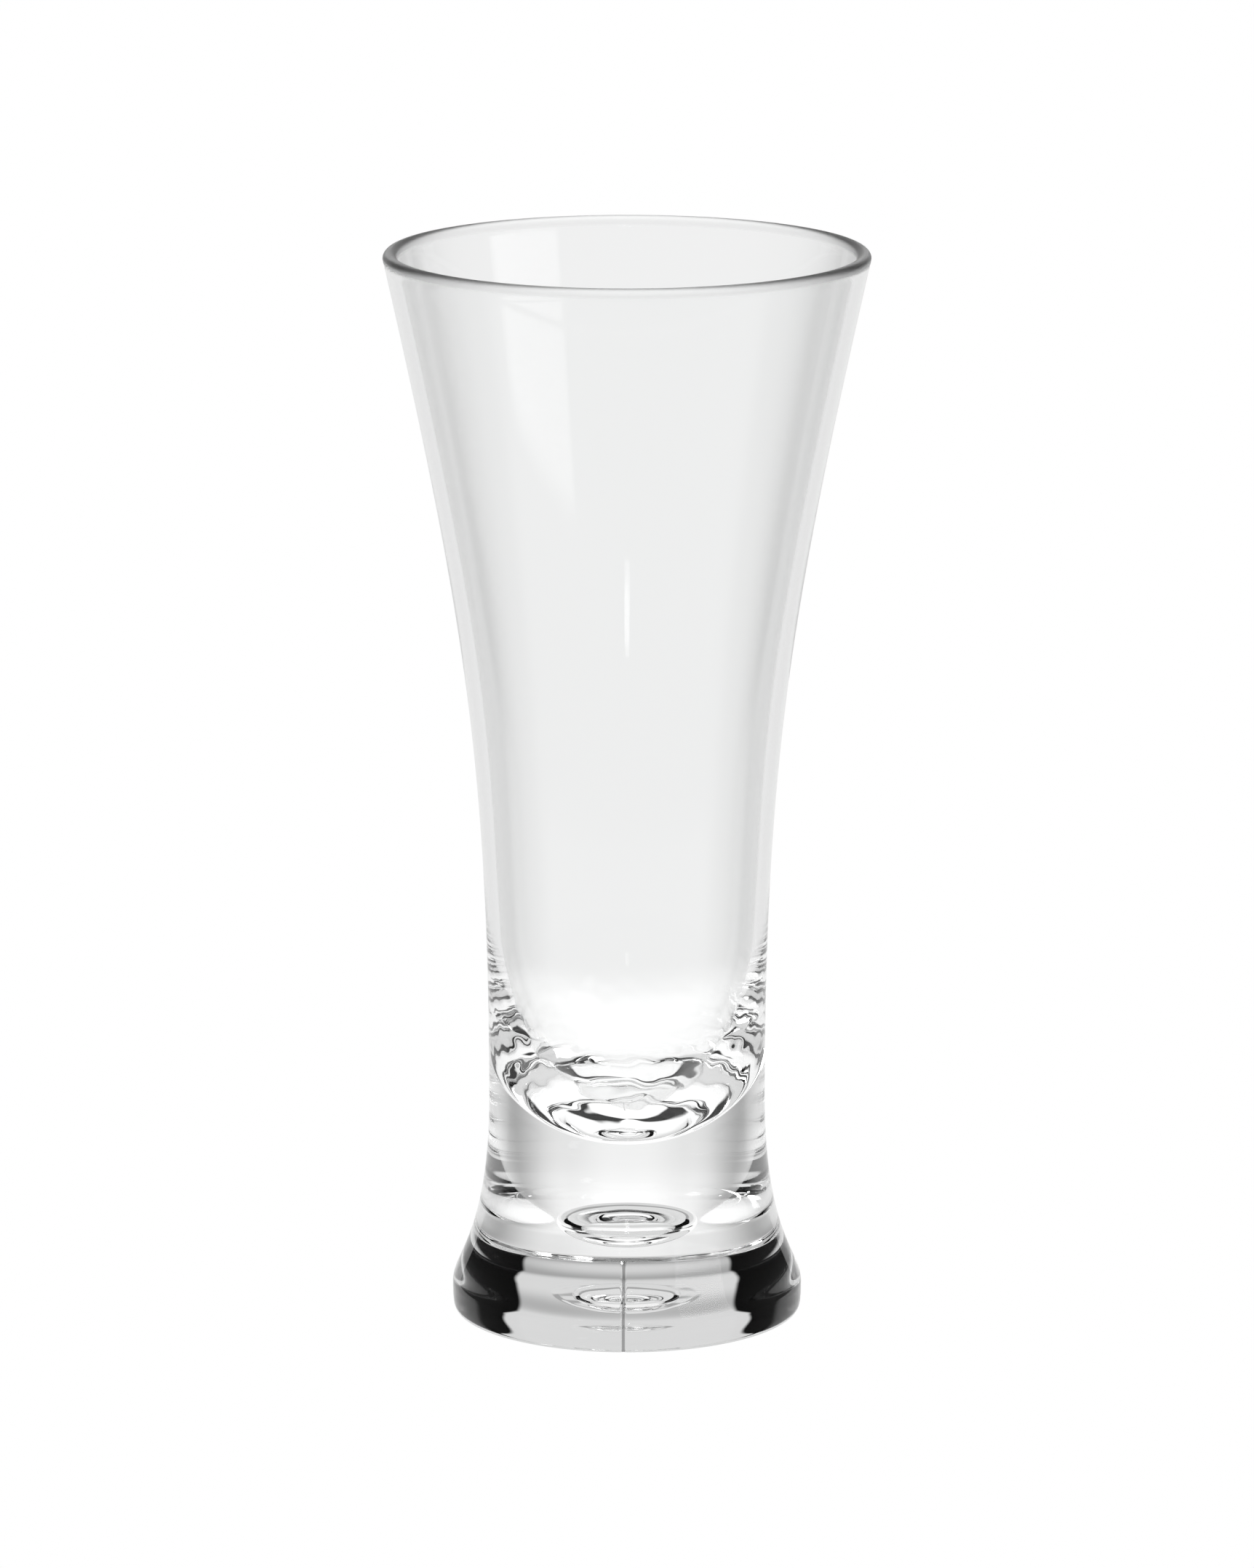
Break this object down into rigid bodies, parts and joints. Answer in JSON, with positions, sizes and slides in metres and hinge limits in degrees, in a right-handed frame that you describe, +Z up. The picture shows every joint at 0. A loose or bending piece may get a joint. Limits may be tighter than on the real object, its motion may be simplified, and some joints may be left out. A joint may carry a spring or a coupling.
{
  "type": "pint glass",
  "caption": "Tall flared beer glass in clear glass, with a rounded lip, a slim waist and a thick solid base on a heavy foot with a bubble of air in it.",
  "frame": {"origin": "centre of the flat ring under the foot that the glass stands on", "axes": "+Z up along the glass's centre line; +X and +Y are alike, because the glass is round; the foot's mould seam runs down its -Y side"},
  "size_m": [0.0924, 0.0924, 0.207],
  "materials": {
    "bowl_glass": "clear soda-lime glass, blown and fire polished",
    "foot_glass": "clear soda-lime glass, pressed, with a fine mould seam down one side"
  },
  "bodies": {
    "root": {"bowl": "bowl_glass", "foot": "foot_glass"}
  },
  "joints": []
}
